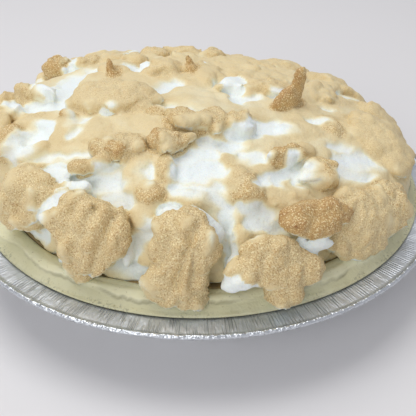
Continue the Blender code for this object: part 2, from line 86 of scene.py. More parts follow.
def turned(name, profile, steps, reshape):
    """A closed (radius, height) profile turned about Z; reshape moves its points, in millimetres."""
    shell = bmesh.new()
    corners = [shell.verts.new((radius, 0.0, height)) for radius, height in profile]
    ring = [shell.edges.new(pair) for pair in zip(corners, corners[1:])]
    bmesh.ops.spin(shell, geom=corners + ring, axis=(0, 0, 1), cent=(0, 0, 0), steps=steps // SECTORS,
                   angle=2 * np.pi / SECTORS)
    sector = shell.verts[:] + shell.edges[:] + shell.faces[:]
    for count in range(1, SECTORS):
        copy = bmesh.ops.duplicate(shell, geom=sector)["geom"]
        bmesh.ops.rotate(shell, verts=[part for part in copy if isinstance(part, bmesh.types.BMVert)],
                         cent=(0, 0, 0), matrix=Matrix.Rotation(2 * np.pi * count / SECTORS, 3, "Z"))
    bmesh.ops.remove_doubles(shell, verts=shell.verts, dist=1e-3)
    bmesh.ops.recalc_face_normals(shell, faces=shell.faces)
    mesh = bpy.data.meshes.new(name)
    shell.to_mesh(mesh)
    shell.free()
    mesh.vertices.foreach_set("co", (reshape(points_of(mesh)) * MM).ravel())
    mesh.shade_smooth()
    return mesh


def placed(name, mesh, finish, node):
    """Puts a finished mesh in the scene, in place of its CAD node."""
    piece = bpy.data.objects.new(name, mesh)
    bpy.context.scene.collection.objects.link(piece)
    mesh.materials.clear()
    mesh.materials.append(finish)
    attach(piece, "root")
    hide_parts(node)
    return piece


def seen(red, green, blue):
    """A colour as it looks, made linear for the shader."""
    return tuple(value / 255 / 12.92 if value <= 10 else ((value / 255 + 0.055) / 1.055) ** 2.4
                 for value in (red, green, blue))


class Field:
    """A value that varies over a finish: a node's output, and sums on it add Math nodes."""

    def __init__(self, tree, socket=None):
        self.tree = tree
        self.socket = socket

    def node(self, kind, settings=None, inputs=None, output=0):
        """The output of a new node: its settings are made first, then its sockets are set or linked."""
        made = self.tree.nodes.new("ShaderNode" + kind)
        for key, value in (settings or {}).items():
            if key == "stops":
                for count, (place, colour) in enumerate(value):
                    stops = made.color_ramp.elements
                    stop = stops[count] if count < 2 else stops.new(place)
                    stop.position = place
                    stop.color = (*colour, 1.0)
            else:
                setattr(made, key, value)
        for key, value in (inputs or {}).items():
            if isinstance(value, Field):
                self.tree.links.new(value.socket, made.inputs[key])
            else:
                made.inputs[key].default_value = value
        return Field(self.tree, made.outputs[output])

    def math(self, operation, *values):
        return self.node("Math", {"operation": operation}, dict(enumerate(values)))

    def __add__(self, other):
        return self.math("ADD", self, other)

    def __radd__(self, other):
        return self.math("ADD", other, self)

    def __sub__(self, other):
        return self.math("SUBTRACT", self, other)

    def __rsub__(self, other):
        return self.math("SUBTRACT", other, self)

    def __mul__(self, other):
        return self.math("MULTIPLY", self, other)

    def __rmul__(self, other):
        return self.math("MULTIPLY", other, self)

    def __truediv__(self, other):
        return self.math("DIVIDE", self, other)

    def limited(self):
        return self.math("MAXIMUM", self.math("MINIMUM", self, 1.0), 0.0)

    def blend(self, first, second):
        """From the first colour to the second as this value goes from 0 to 1.

        The Mix node takes colours in its sockets 6 and 7, and gives one from its output 2.
        """
        first, second = (value if isinstance(value, Field) else (*value, 1.0) for value in (first, second))
        return self.node("Mix", {"data_type": "RGBA"}, {0: self, 6: first, 7: second}, 2)

    def grain(self, scale, detail=2.0, roughness=0.5):
        """Noise on these coordinates, from 0 to 1 round a middle of 0.5."""
        return self.node("TexNoise", None, {"Vector": self, "Scale": scale, "Detail": detail,
                                            "Roughness": roughness})


def new_finish(name):
    """A material with its Principled shader, and its Object coordinates as a Field."""
    made = bpy.data.materials.new(name)
    made.use_nodes = True
    shader = made.node_tree.nodes["Principled BSDF"]
    return made, shader, Field(made.node_tree).node("TexCoord", output=3)


def feed(shader, field, socket):
    field.tree.links.new(field.socket, shader.inputs[socket])


def set_steady(shader, values):
    """Sets the sockets that have one value over the whole finish."""
    for socket, value in values.items():
        shader.inputs[socket].default_value = value


def raise_surface(shader, height, distance):
    """A bump of this height pattern, at most this many metres high."""
    bump = height.node("Bump", None, {"Strength": 1.0, "Distance": distance, "Height": height})
    feed(shader, bump, "Normal")


def from_axis(place):
    """The x and y of a place on a finish, and how far it is from the Z axis, in metres."""
    x, y = (place.node("SeparateXYZ", None, {0: place}, axis) for axis in range(2))
    return x, y, place.math("SQRT", x * x + y * y)


def paint(mesh, name, first, second):
    """Stores two values for each point as a colour attribute, for the finish to read."""
    levels = np.stack([first, second, 0 * first, 1 + 0 * first], axis=1)
    layer = mesh.attributes.new(name, "FLOAT_COLOR", "POINT")
    layer.data.foreach_set("color", levels.ravel())


def painted(place, name):
    """The two values that paint() stored on the mesh."""
    stored = place.node("Attribute", {"attribute_name": name}, None, 0)
    return (place.node("SeparateColor", None, {0: stored}, channel) for channel in range(2))


def tin_profile():
    """Down the outside of the tin, round the bead, and back along the inside."""
    bead_at = TIN_RADIUS - BEAD_RADIUS
    flange_z = TIN_DEPTH + 0.3
    wall = np.linspace(0.08, 0.92, 9)
    flange = np.linspace(TIN_MOUTH_RADIUS + 1.0, bead_at - 1.6, 9)
    bead = [(bead_at + BEAD_RADIUS * np.cos(turn), flange_z + 0.3 + BEAD_RADIUS * np.sin(turn))
            for turn in np.radians(np.linspace(-125, 140, 12))]
    flare = TIN_MOUTH_RADIUS - TIN_BASE_RADIUS
    outside = [(0, 0), (60, 0), (TIN_BASE_RADIUS - 1.6, 0), (TIN_BASE_RADIUS - 0.4, 0.25),
               (TIN_BASE_RADIUS + 0.4, 0.9)]
    outside += [(TIN_BASE_RADIUS + flare * share, TIN_DEPTH * share) for share in wall]
    outside += [(TIN_MOUTH_RADIUS - 0.4, TIN_DEPTH - 1.0), (TIN_MOUTH_RADIUS + 0.4, TIN_DEPTH - 0.4)]
    outside += [(radius, TIN_DEPTH - 0.2) for radius in flange]
    inside = [(radius, TIN_DEPTH + 0.3) for radius in flange[::-1]]
    inside += [(TIN_MOUTH_RADIUS, TIN_DEPTH + 0.1), (TIN_MOUTH_RADIUS - 0.9, TIN_DEPTH - 0.7)]
    inside += [(TIN_BASE_RADIUS - FOIL + flare * share, TIN_DEPTH * share) for share in wall[::-1]]
    inside += [(TIN_BASE_RADIUS - 0.2, 1.2), (TIN_BASE_RADIUS - 1.7, FOIL), (60, FOIL), (0, FOIL)]
    return outside + bead + inside


def crimped(points):
    """Pleats up the wall, finer crimps across the flange, and small dents round the bead."""
    radius, angle = polar(points)
    around = np.stack([np.cos(angle), np.sin(angle), radius * 0.004], axis=1) * TIN_RADIUS
    coarse = crumple(around, 5.0, 3)
    fine = crumple(around, 1.5, 4)
    on_wall = smooth_step(TIN_BASE_RADIUS + 1.0, TIN_BASE_RADIUS + 5.0, radius)
    on_wall = on_wall * smooth_step(TIN_MOUTH_RADIUS + 0.5, TIN_MOUTH_RADIUS - 1.5, radius)
    on_wall = on_wall * smooth_step(0.8, 4.0, points[:, 2])
    on_flange = smooth_step(TIN_MOUTH_RADIUS + 0.2, TIN_MOUTH_RADIUS + 1.6, radius)
    on_flange = on_flange * smooth_step(TIN_RADIUS - 1.3, TIN_RADIUS - 2.7, radius)
    on_bead = smooth_step(TIN_RADIUS - 2.1, TIN_RADIUS - 0.9, radius)
    pleat = 0.35 * np.cos(angle * WALL_PLEATS / 2) + 0.35 * coarse + 0.2 * fine
    out = on_wall * pleat + on_bead * (0.24 * fine + 0.14 * coarse)
    up = on_flange * (0.15 * coarse + 0.12 * fine)
    up += on_bead * (0.16 * coarse + 0.10 * fine)
    share = 1 + out / np.maximum(radius, 1.0)
    height = np.maximum(points[:, 2] + up, 0.0)
    return np.stack([points[:, 0] * share, points[:, 1] * share, height], axis=1)


foil, shader, place = new_finish("foil")
x, y, radius = from_axis(place)
spokes = place.node("CombineXYZ", None, {0: x / radius, 1: y / radius, 2: radius * 3.0})
streaks = spokes.grain(105.0, 2.0)
wide_streaks = spokes.grain(40.0, 1.0)
scuffs = place.grain(160.0, 3.0)
glints = place.grain(700.0, 1.0)
ticks = place.math("COSINE", place.math("ARCTAN2", y, x) * CRIMPS)
on_bead = ((radius - BEAD_SHEEN_FROM * MM) * 1500.0).limited()
ticks = ticks * ((wide_streaks - 0.44) * 2.6).limited() * 0.44 * (1.0 - on_bead)
feed(shader, scuffs.blend(seen(194, 198, 203), seen(220, 224, 229)), "Base Color")
feed(shader, 0.32 + 0.2 * scuffs - 0.16 * on_bead, "Roughness")
set_steady(shader, {"Metallic": 0.75})
crimps = streaks * 0.42 + 0.24 * wide_streaks + 0.25 * scuffs + ticks
raise_surface(shader, crimps + glints * on_bead, 0.0008)

placed("foil_tin", turned("foil_tin", tin_profile(), TIN_STEPS, crimped), foil, "tin")

# Pastry
# A rolled sheet of shortcrust pressed into the tin. Its edge is folded back on itself on the
# flange, so that a thin under layer shows outside the rounded lip. Baked pale, dry and dull.

GAP = 0.3
CRIMP_DEPTH = 0.2
PASTRY = 3.5
PASTRY_EDGE_RADIUS = 112.2
PASTRY_LIP_RADIUS = 98.6
PASTRY_CROWN_RADIUS = 104.0
PASTRY_CROWN_Z = 35.8
PASTRY_WAVE = 0.7
FOLD_RADIUS = 107.3
FOLD_WANDER = 3.4
PASTRY_STEPS = 900
CRUMBS_FROM = 109.5


def pastry_top():
    """The upper side of the edge, from outside to inside, with the step where it is folded."""
    return [
        (PASTRY_EDGE_RADIUS - 0.4, 31.8), (PASTRY_EDGE_RADIUS - 2.2, 33.3), (107.6, 34.2),
        (107.0, 35.2), (PASTRY_CROWN_RADIUS, PASTRY_CROWN_Z), (101.0, 35.4),
        (PASTRY_LIP_RADIUS + 0.4, 34.0),
    ]


def pastry_profile():
    """The same section as the solid's, with its upper side in fine steps and without the fold."""
    under_flange = TIN_DEPTH + 0.3 + CRIMP_DEPTH + GAP + 0.1
    outside = [
        (0, FOIL + GAP), (TIN_BASE_RADIUS - 2.6, FOIL + GAP), (TIN_BASE_RADIUS - 1.4, 1.6),
        (TIN_MOUTH_RADIUS - 2.4, TIN_DEPTH - 0.6), (TIN_MOUTH_RADIUS - 0.2, under_flange),
        (PASTRY_EDGE_RADIUS - 0.7, under_flange), (PASTRY_EDGE_RADIUS - 0.1, under_flange + 0.3),
        (PASTRY_EDGE_RADIUS, under_flange + 0.7),
    ]
    radii = np.linspace(PASTRY_EDGE_RADIUS - 0.2, PASTRY_LIP_RADIUS + 0.4, 48)
    outer = PASTRY_CROWN_Z - 4.4 * (np.maximum(radii - PASTRY_CROWN_RADIUS, 0) / 8.2) ** 1.4
    inner = 1.9 * (np.maximum(PASTRY_CROWN_RADIUS - radii, 0) / 5.0) ** 2.4
    inside = [
        (PASTRY_LIP_RADIUS + 0.1, 33.0), (PASTRY_LIP_RADIUS, 32.0),
        (TIN_BASE_RADIUS - PASTRY - 1.0, FOIL + GAP + PASTRY), (0, FOIL + GAP + PASTRY),
    ]
    return outside + list(zip(radii, outer - inner)) + inside


def lip_wave(angle):
    """How the baked lip rises and falls on its way round."""
    return PASTRY_WAVE * (0.6 * np.sin(5 * angle + 1.0) + 0.4 * np.sin(11 * angle + 2.0))


def folded(points):
    """Places on the rim for noise, where the fold's line runs there, and how clear it is."""
    angle = polar(points)[1]
    around = np.stack([np.cos(angle), np.sin(angle), 0 * angle], axis=1) * PASTRY_EDGE_RADIUS
    fold_at = FOLD_RADIUS + FOLD_WANDER * crumple(around, 30.0, 11) + 0.9 * crumple(around, 9.0, 12)
    return around, fold_at, 0.3 + 0.7 * smooth_step(-0.35, 0.0, crumple(around, 24.0, 17))


def pastry_edge(points):
    """The lip rises and falls, the fold wanders in and out, and the surface is a little uneven."""
    radius, angle = polar(points)
    on_top = smooth_step(TIN_DEPTH + 1.3, TIN_DEPTH + 2.6, points[:, 2])
    around, fold_at, clear = folded(points)
    up = lip_wave(angle) * smooth_step(PASTRY_LIP_RADIUS, PASTRY_CROWN_RADIUS, radius)
    soft = 0.25 + 0.8 * smooth_step(0.1, -0.4, crumple(around, 16.0, 19))
    step = clear * (1.6 * smooth_step(fold_at + soft, fold_at - 0.2, radius) - 0.7)
    up += step * smooth_step(103.0, 106.0, radius) * smooth_step(112.0, 110.0, radius)
    up += 0.8 * crumple(points, 21.0, 18) + 0.4 * crumple(points, 9.0, 13) + 0.14 * crumple(points, 2.6, 14)
    torn = crumple(around, 14.0, 15) + 0.6 * crumple(around, 3.4, 16) + 0.35 * crumple(around, 1.5, 20)
    ragged = smooth_step(109.5, 112.0, radius) * (torn - 0.6)
    share = 1 + on_top * ragged / np.maximum(radius, 1.0)
    return np.stack([points[:, 0] * share, points[:, 1] * share, points[:, 2] + on_top * up], axis=1)


mesh = turned("pastry_shell", pastry_profile(), PASTRY_STEPS, pastry_edge)
points = points_of(mesh) / MM
radius = polar(points)[0]
around, fold_at, clear = folded(points)
# Painted shade: a dark, broken line along the fold, standing for the shade in the folded layer's undercut.
# It is stored together with how far each point lies outside the fold.
torn = 0.4 * crumple(around, 2.2, 24) + 0.25
broken = smooth_step(-0.5, 0.2, crumple(around, 13.0, 23))
line = clear * np.exp(-((radius - fold_at - torn) / 0.3) ** 2) * broken
paint(mesh, "fold_shade_and_layer", line, smooth_step(fold_at - 0.2, fold_at + 0.8, radius))

pastry, shader, place = new_finish("pastry")
patches = place.grain(45.0, 3.0)
flour = place.grain(420.0, 3.0, 0.7)
freckles = place.grain(900.0, 1.0)
warm = ((patches - 0.42) * 3.0).limited()
colour = warm.blend(seen(228, 225, 193), seen(216, 211, 172))
colour = ((flour - 0.60) * 6.0).limited().blend(colour, seen(222, 218, 188))
colour = ((freckles - 0.66) * 5.0).limited().blend(colour, seen(158, 146, 104))
line, under_layer = painted(place, "fold_shade_and_layer")
colour = (under_layer * 0.4).blend(colour, seen(176, 172, 132))
# Painted shade: the dark line in the undercut along the fold.
colour = (line * 0.55).blend(colour, seen(112, 104, 70))
radius = from_axis(place)[2]
at_edge = ((radius - CRUMBS_FROM * MM) * 700.0).limited()
crumbs = ((place.grain(800.0, 4.0, 0.7) - 0.52) * 9.0).limited()
crumbs = crumbs * ((place.grain(60.0) - 0.42) * 6.0).limited()
colour = (at_edge * crumbs * 0.7).blend(colour, seen(132, 132, 108))
feed(shader, colour, "Base Color")
feed(shader, 0.62 + 0.2 * flour, "Roughness")
set_steady(shader, {"Subsurface Weight": 0.15, "Subsurface Radius": (1.0, 0.8, 0.5),
                    "Subsurface Scale": 0.002})
raise_surface(shader, flour + 0.5 * freckles, 0.00025)

placed("pastry_shell", mesh, pastry, "crust")

# Filling
# Cooked filling that fills the shell to just under the meringue. It shows as a tan, moist band
# wherever the meringue's edge lifts off the pastry.

FILLING_TOP = 32.2
FILLING_RIM_TOP = 33.2
FILLING_STEPS = 360


def filling_profile():
    """Along the pastry's floor, up its side, over the rim that shows, and in to the middle."""
    bottom = FOIL + GAP + PASTRY + GAP
    outer = [(0, bottom), (TIN_BASE_RADIUS - PASTRY - 1.5, bottom), (PASTRY_LIP_RADIUS - 0.6, 31.6)]
    rim = [(PASTRY_LIP_RADIUS - inset, FILLING_RIM_TOP - 0.04 * inset ** 1.9)
           for inset in np.linspace(0.5, 5.5, 9)]
    return outer + rim + [(PASTRY_LIP_RADIUS - 8.0, FILLING_TOP), (0, FILLING_TOP)]


def wobbled(points):
    """The top swells and dips a little where it shows."""
    on_top = smooth_step(31.8, 32.4, points[:, 2]) * smooth_step(84.0, 91.0, polar(points)[0])
    points[:, 2] += on_top * (0.18 * crumple(points, 6.0, 21) + 0.08 * crumple(points, 2.0, 22))
    return points


curd, shader, place = new_finish("filling")
mottle = place.grain(130.0, 3.0)
feed(shader, mottle.blend(seen(168, 142, 98), seen(198, 172, 124)), "Base Color")
set_steady(shader, {"Roughness": 0.28, "Subsurface Weight": 0.3,
                    "Subsurface Radius": (1.0, 0.6, 0.25), "Subsurface Scale": 0.003})
raise_surface(shader, mottle, 0.0006)

mesh = turned("cooked_filling", filling_profile(), FILLING_STEPS, wobbled)
placed("cooked_filling", mesh, curd, "filling")

# Meringue
# Egg whites whipped with sugar, heaped over the filling, sealed to the pastry and browned from
# above. It is one soft mass: a broad heap, and dollops pulled up, folded or let fall over the edge.

MERINGUE_BASE_Z = 34.0
MERINGUE_RISE = 42.5
MERINGUE_REACH = 105.0
FRONT_REACH = 97.8
FRONT_ANGLE = -95.0
TILT_RIGHT = 0.11
TILT_BACK = 0.155
UNDERSIDE_DROP = 14.0
HEAP_LUMPINESS = 2.2
BED_STEPS = 84
BED_REACH = 140.0
BED_RIM_Z = 31.5
VOXEL = 1.05
RIM_DOLLOPS = 10
RIM_DOLLOPS_FROM = -14.0
RIM_DOLLOPS_TO = 192.0
CROWN_DOLLOPS = 22
BACK_HOLLOWS = 18
COVERING_THICKNESS = 11.5
SCORCHED_FROM = 0.775

# What a dollop's outline does: lobes round its edge, taper towards its low end, edges that
# curl away from the heap, a point drawn up in the middle, folds down it and a billowed skin.
Shape = namedtuple("Shape", "lobes lobe_depth taper curl point folds rough")
SHAPES = {
    "mound": Shape(0, 0.00, 0.00, 0.00, 0.0, 0.00, 0.16),
    "drape": Shape(0, 0.00, -0.12, 0.00, 0.0, 0.16, 0.20),
    "fan": Shape(0, 0.00, 0.32, 0.00, 0.0, 0.14, 0.20),
    "leaf": Shape(2, 0.10, 0.00, 0.35, 0.0, 0.10, 0.26),
    "flap": Shape(3, 0.14, 0.00, 0.35, 0.0, 0.18, 0.42),
    "rough": Shape(5, 0.10, 0.00, 0.10, 0.0, 0.14, 0.40),
    "peak": Shape(0, 0.00, 0.00, 0.00, 1.0, 0.00, 0.20),
}

# Dollops: angle round the pie and slope angle above its rim, width across the slope, length
# along it, thickness, how far the middle stands off the heap, how far the low edge tips out,
# turn on the slope, shape, and how deeply it is browned. The places and sizes here, and those of
# the hollows and creases below, weren't worked out in this script: another program made them,
# from places picked by eye in the photo, seen through the camera below.
Dollop = namedtuple("Dollop", "angle slope width length thick off lean turn shape brown")
DOLLOPS = [
    Dollop(-136, 12, 38, 22, 20, 2, 4, 28, "drape", 0.62),
    Dollop(-135, 8, 28, 13, 14, 4, 4, 23, "fan", 0.60),
    Dollop(-126, 15, 29, 9, 7.5, 0, 0, 33, "mound", 0.58),
    Dollop(-115, 10, 37, 31, 16, 5, 6, -9, "fan", 0.62),
    Dollop(-117, 3, 13, 14, 8, 6, 6, 16, "mound", 0.60),
    Dollop(-109, 11, 10, 22, 12, 4, 4, -10, "mound", 0.62),
    Dollop(-92, 11, 24, 27, 20, 5, 2, -2, "mound", 0.62),
    Dollop(-94, 4, 23, 25, 13, 7, 8, 0, "drape", 0.62),
    Dollop(-92, 14, 10, 8, 12, 4, 0, 2, "mound", 0.66),
    Dollop(-98, 14, 7, 5, 9, 4, 0, 5, "mound", 0.64),
    Dollop(-73, 7, 31, 18, 12, 11, 14, -23, "mound", 0.64),
    Dollop(-80, 6, 16, 11, 11.6, 11, 16, 3, "drape", 0.58),
    Dollop(-72, 3, 15, 17, 11.8, 12, 16, -19, "mound", 0.64),
    Dollop(-67, 5, 14, 12, 11, 11, 14, -35, "mound", 0.64),
    Dollop(-80, 10, 8, 13, 6, 1, 0, -5, "mound", 0.50),
    Dollop(-63, 12, 30, 13, 10, 10, 20, -8, "mound", 0.80),
    Dollop(-60, 13, 12, 6, 9, 11, 14, -5, "mound", 0.74),
    Dollop(-63, 8, 12, 5, 8, 9, 18, -12, "mound", 0.04),
    Dollop(-66, 8, 11, 5, 6, 8, 18, -34, "mound", 0.04),
    Dollop(-124, 13, 17, 5, 6, 6, 0, 48, "mound", 0.04),
    Dollop(-81, 6, 9, 9, 6, 3, 0, -6, "mound", 0.04),
    Dollop(-106, 7, 5, 12, 5, 1, 0, -2, "mound", 0.04),
    Dollop(-96, 16, 8, 5, 6, 3, 0, -4, "mound", 0.04),
    Dollop(-87, 14, 16, 5, 6, 5, 0, -43, "mound", 0.04),
    Dollop(-130, 18, 13, 9, 6, 1, 0, 20, "mound", 0.04),
    Dollop(22, 66, 12, 18, 6, 0, 0, 83, "mound", 0.04),
    Dollop(-142, 39, 6, 5, 4, 0, 0, 77, "mound", 0.04),
    Dollop(-82, 5, 13, 7, 8, 12, 16, 8, "mound", 0.05),
    Dollop(-124, -3, 5, 10, 7, 2, 0, -4, "mound", 0.05),
    Dollop(-48, 7, 33, 29, 18, 2, 0, -19, "mound", 0.60),
    Dollop(-37, 7, 23, 24, 16, 2, 0, -23, "mound", 0.62),
    Dollop(-102, 19, 9, 11, 6.8, 1, 0, 8, "mound", 0.70),
    Dollop(-102, 15, 12, 12, 6.8, 0, 0, 7, "mound", 0.50),
    Dollop(-76, 20, 12, 15, 6.8, 1, 0, 11, "mound", 0.68),
    Dollop(-78, 23, 10, 12, 6.8, 0, 0, -5, "mound", 0.58),
    Dollop(-92, 19, 15, 8, 6, 0, 0, -2, "mound", 0.54),
    Dollop(-65, 17, 21, 11, 6.8, 0, 0, -17, "rough", 0.55),
    Dollop(-59, 26, 16, 8, 7, 3, 20, -8, "rough", 0.74),
    Dollop(-48, 27, 9, 6, 4.5, 1, 0, -51, "mound", 0.54),
    Dollop(-51, 20, 16, 13, 9, 2, 6, -20, "rough", 0.66),
    Dollop(-17, 42, 18, 6, 18, 2, 0, -35, "peak", 0.77),
    Dollop(161, 42, 5, 8, 10, 1, 0, -74, "peak", 0.76),
    Dollop(99, 60, 5, 8, 10, 1, 0, 0, "peak", 0.72),
    Dollop(153, 21, 17, 12, 12, 3, 18, 0, "leaf", 0.74),
    Dollop(145, 25, 20, 12, 9, 1, 8, 0, "rough", 0.60),
    Dollop(134, 28, 17, 12, 6.8, 0, 0, 0, "mound", 0.56),
    Dollop(-174, 27, 20, 7, 9, 2, 10, 37, "rough", 0.66),
    Dollop(179, 22, 19, 7, 10, 1, 0, 44, "rough", 0.60),
    Dollop(-169, 20, 17, 11, 10, 1, 0, 37, "rough", 0.60),
    Dollop(-155, 44, 39, 31, 15, 0, 0, 58, "mound", 0.58),
    Dollop(130, 54, 20, 20, 10, 1, 6, -34, "rough", 0.58),
    Dollop(131, 37, 10, 15, 9, 1, 0, 0, "rough", 0.56),
    Dollop(115, 32, 16, 18, 10, 1, 0, 0, "rough", 0.58),
    Dollop(97, 28, 18, 15, 10, 1, 0, 0, "rough", 0.58),
    Dollop(84, 29, 11, 12, 9, 1, 0, 0, "rough", 0.60),
    Dollop(84, 63, 11, 26, 6.8, 0, 0, 16, "mound", 0.55),
    Dollop(61, 29, 35, 14, 8.2, -1.5, 0, 0, "mound", 0.56),
    Dollop(5, 60, 8, 11, 5.2, 0, 0, -78, "mound", 0.62),
    Dollop(11, 49, 20, 13, 9, 1, 0, -78, "rough", 0.58),
    Dollop(-95, 43, 19, 18, 8, 3, 16, -18, "flap", 0.66),
    Dollop(-101, 33, 14, 14, 8, 2, 18, 0, "flap", 0.64),
    Dollop(-106, 32, 5, 6, 6, 3, 24, 5, "flap", 0.78),
    Dollop(-117, 47, 9, 6, 6, 1, 0, 19, "mound", 0.66),
    Dollop(-116, 41, 18, 13, 5.2, -1, 0, -3, "mound", 0.52),
    Dollop(-122, 26, 9, 7, 7, 2, 12, 22, "rough", 0.62),
    Dollop(-116, 29, 17, 16, 8, 1, 14, 20, "rough", 0.60),
    Dollop(-116, 26, 7, 6, 6, 4, 24, 18, "flap", 0.74),
    Dollop(-109, 27, 10, 11, 5.2, -1, 0, -16, "mound", 0.50),
    Dollop(-124, 21, 10, 5, 6, 2, 14, 29, "leaf", 0.64),
    Dollop(-120, 23, 10, 5, 6, 1, 0, 45, "mound", 0.58),
    Dollop(-152, 18, 15, 15, 11, 2, 0, 28, "mound", 0.70),
    Dollop(-143, 27, 13, 20, 6, -1, 0, 66, "mound", 0.55),
    Dollop(-148, 30, 6, 5, 5, 2, 16, 44, "mound", 0.72),
    Dollop(-152, 25, 24, 5, 4.5, 0, 0, 36, "mound", 0.50),
    Dollop(-144, 19, 20, 7, 6.8, 0, 0, 46, "mound", 0.56),
    Dollop(-134, 31, 17, 21, 5.2, -1, 0, 73, "mound", 0.52),
    Dollop(-99, 25, 7, 14, 6.8, 0, 0, 8, "mound", 0.60),
    Dollop(-109, 22, 7, 14, 4.5, -1, 0, 12, "mound", 0.50),
    Dollop(-23, 28, 11, 15, 6, 0, 0, -40, "mound", 0.62),
    Dollop(-66, 41, 13, 13, 9, 2, 10, -13, "rough", 0.62),
    Dollop(-81, 44, 11, 20, 9, 2, 10, -1, "rough", 0.62),
    Dollop(-77, 42, 17, 14, 5.2, -1, 0, -14, "mound", 0.54),
    Dollop(-38, 33, 24, 14, 4.5, -1, 0, -32, "mound", 0.52),
    Dollop(-68, 27, 16, 13, 4.5, -1, 0, -11, "mound", 0.52),
    Dollop(14, 22, 43, 19, 6, -1.5, 0, -55, "mound", 0.56),
    Dollop(-15, 13, 34, 29, 7.5, -1.5, 0, -34, "mound", 0.56),
    Dollop(-17, 25, 29, 16, 5.2, -1.5, 0, -41, "rough", 0.56),
    Dollop(-49, -1, 12, 5, 5, 5, 10, -35, "mound", 0.04),
]

# Hollows between the dollops, where the heat didn't brown the white: from one angle and slope
# to another, how wide and how deep.
Hollow = namedtuple("Hollow", "angle slope to_angle to_slope width depth")
HOLLOWS = [
    Hollow(154, 34, 164, 31, 11, 2.2),
    Hollow(164, 31, -180, 30, 13, 2.2),
    Hollow(-180, 30, -160, 31, 10, 2.1),
    Hollow(-160, 31, -168, 24, 10, 2.1),
    Hollow(-148, 25, -145, 20, 11, 2.2),
    Hollow(-145, 20, -147, 16, 7, 1.6),
    Hollow(-140, 38, -138, 41, 6, 1.4),
    Hollow(-142, 32, -147, 35, 6, 1.4),
    Hollow(-136, 27, -137, 29, 3, 0.9),
    Hollow(-172, 65, 154, 72, 9, 1.9),
    Hollow(146, 46, 139, 50, 6, 1.4),
    Hollow(-126, 55, -97, 53, 9, 2.0),
    Hollow(38, 70, -9, 67, 10, 2.1),
    Hollow(-9, 67, -33, 62, 7, 1.6),
    Hollow(-36, 62, -12, 56, 5, 1.3),
    Hollow(-3, 50, -0, 47, 3, 1.0),
    Hollow(85, 51, 81, 50, 5, 1.3),
    Hollow(-59, 41, -46, 38, 12, 2.2),
    Hollow(-72, 38, -55, 39, 9, 1.9),
    Hollow(-86, 35, -75, 33, 8, 1.7),
    Hollow(-95, 29, -86, 31, 8, 1.7),
    Hollow(-94, 25, -85, 26, 11, 2.2),
    Hollow(-96, 21, -83, 21, 4, 1.1),
    Hollow(-130, 19, -122, 20, 5, 1.4),
    Hollow(-129, 19, -125, 17, 6, 1.4),
    Hollow(-140, 19, -123, 25, 2, 0.9),
    Hollow(-121, 22, -115, 24, 5, 1.3),
    Hollow(-105, 25, -103, 23, 3, 0.9),
    Hollow(-121, 19, -112, 20, 9, 1.9),
    Hollow(-113, 17, -107, 17, 5, 1.3),
    Hollow(-127, 11, -118, 16, 5, 1.3),
    Hollow(-127, 10, -132, 3, 6, 1.5),
    Hollow(-145, -6, -133, 3, 4, 1.2),
    Hollow(-100, 14, -106, 7, 5, 1.4),
    Hollow(-107, 3, -103, 2, 10, 2.1),
    Hollow(-107, 2, -103, 0, 6, 1.4),
    Hollow(-101, 15, -99, 15, 2, 0.9),
    Hollow(-96, 17, -88, 16, 2, 0.9),
    Hollow(-73, 29, -68, 29, 6, 1.4),
    Hollow(-66, 22, -55, 24, 6, 1.4),
    Hollow(-58, 27, -58, 22, 7, 1.7),
    Hollow(-73, 22, -66, 23, 3, 1.1),
    Hollow(-61, 20, -55, 20, 3, 1.0),
    Hollow(-36, 24, -31, 22, 4, 1.2),
    Hollow(-39, 20, -26, 16, 10, 2.1),
    Hollow(-47, 20, -35, 14, 5, 1.3),
    Hollow(-24, 33, -25, 32, 5, 1.3),
    Hollow(-6, 31, -5, 29, 2, 0.9),
    Hollow(-86, 20, -82, 17, 5, 1.3),
    Hollow(-83, 16, -83, 12, 5, 1.3),
    Hollow(-82, 9, -80, 5, 6, 1.5),
    Hollow(-76, 17, -72, 15, 7, 1.6),
    Hollow(-77, 14, -70, 12, 5, 1.3),
    Hollow(-79, 18, -75, 15, 4, 1.2),
    Hollow(-88, 16, -84, 10, 2, 0.9),
    Hollow(-55, 2, -50, 1, 2, 0.9),
    Hollow(-128, -7, -118, 3, 3, 0.9),
    Hollow(-83, 5, -81, -6, 2, 0.9),
    Hollow(-81, -6, -76, 1, 2, 0.9),
]

# Creases down the dollops: from one angle and slope to another, how wide and how deep.
Crease = namedtuple("Crease", "angle slope to_angle to_slope width depth")
CREASES = [
    Crease(-108, 15, -109, 11, 3, 3.4),
    Crease(-109, 11, -112, 4, 3, 3.4),
    Crease(-114, 11, -117, 4, 3, 2),
    Crease(-112, 17, -113, 12, 3, 2),
    Crease(-117, 15, -118, 10, 3, 1.2),
    Crease(-91, 14, -92, 11, 2, 3.4),
    Crease(-92, 11, -94, 5, 2, 3.4),
    Crease(-89, 15, -90, 10, 2, 2.2),
    Crease(-90, 10, -91, 5, 2, 2.2),
    Crease(-95, 14, -97, 8, 2, 1.6),
    Crease(-77, 10, -78, 6, 3, 1.6),
    Crease(-69, 8, -69, 3, 3, 1.4),
    Crease(-50, 14, -54, 8, 4, 1),
    Crease(-58, 13, -53, 4, 2, 2),
    Crease(-131, 15, -133, 10, 4, 1.6),
]

# Where the heap's foot lifts off the pastry, between the front dollops
ARCH_ANGLES = (-139, -118, -84, -54)
ARCHES = [Hollow(angle - 4, -12, angle + 4, -12, 9, 6) for angle in ARCH_ANGLES]


def billow(points, size, seed):
    """Round bumps with creases between them, about -0.3 to 0.7."""
    return 1.6 * np.abs(crumple(points, size, seed)) - 0.3


def heap_reach(angle):
    """How far the heap comes out at this angle: at the front it stops short of the pastry edge."""
    facing = np.cos(np.radians(angle - FRONT_ANGLE))
    return MERINGUE_REACH - (MERINGUE_REACH - FRONT_REACH) * smooth_step(0.35, 0.85, facing)


